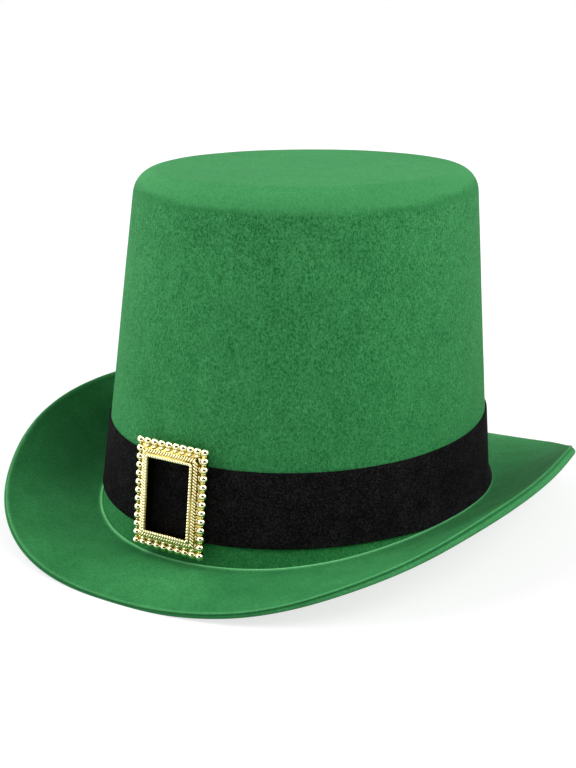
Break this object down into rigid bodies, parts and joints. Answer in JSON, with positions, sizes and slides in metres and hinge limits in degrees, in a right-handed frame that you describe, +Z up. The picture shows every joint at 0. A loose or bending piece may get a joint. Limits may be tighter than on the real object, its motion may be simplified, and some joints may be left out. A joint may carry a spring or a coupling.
{
  "type": "leprechaun hat",
  "caption": "Green felt top hat with a tapered flat-topped crown, a brim curled up at both sides, a black felt band and a rectangular beaded gilt buckle at the front.",
  "frame": {"origin": "on the floor under the middle of the brim", "axes": "+Z up through the crown; the wearer looks along -Y, where the buckle is; +X is the wearer's left"},
  "size_m": [0.252, 0.2838, 0.163],
  "materials": {
    "green_felt": "dense matt wool felt with short raised fibres",
    "black_felt": "dense matt felt with a few grey fibres",
    "gilt": "mirror bright pale gold plating"
  },
  "bodies": {
    "root": {"crown": "green_felt", "brim": "green_felt", "hat_band": "black_felt", "buckle": "gilt"}
  },
  "joints": []
}
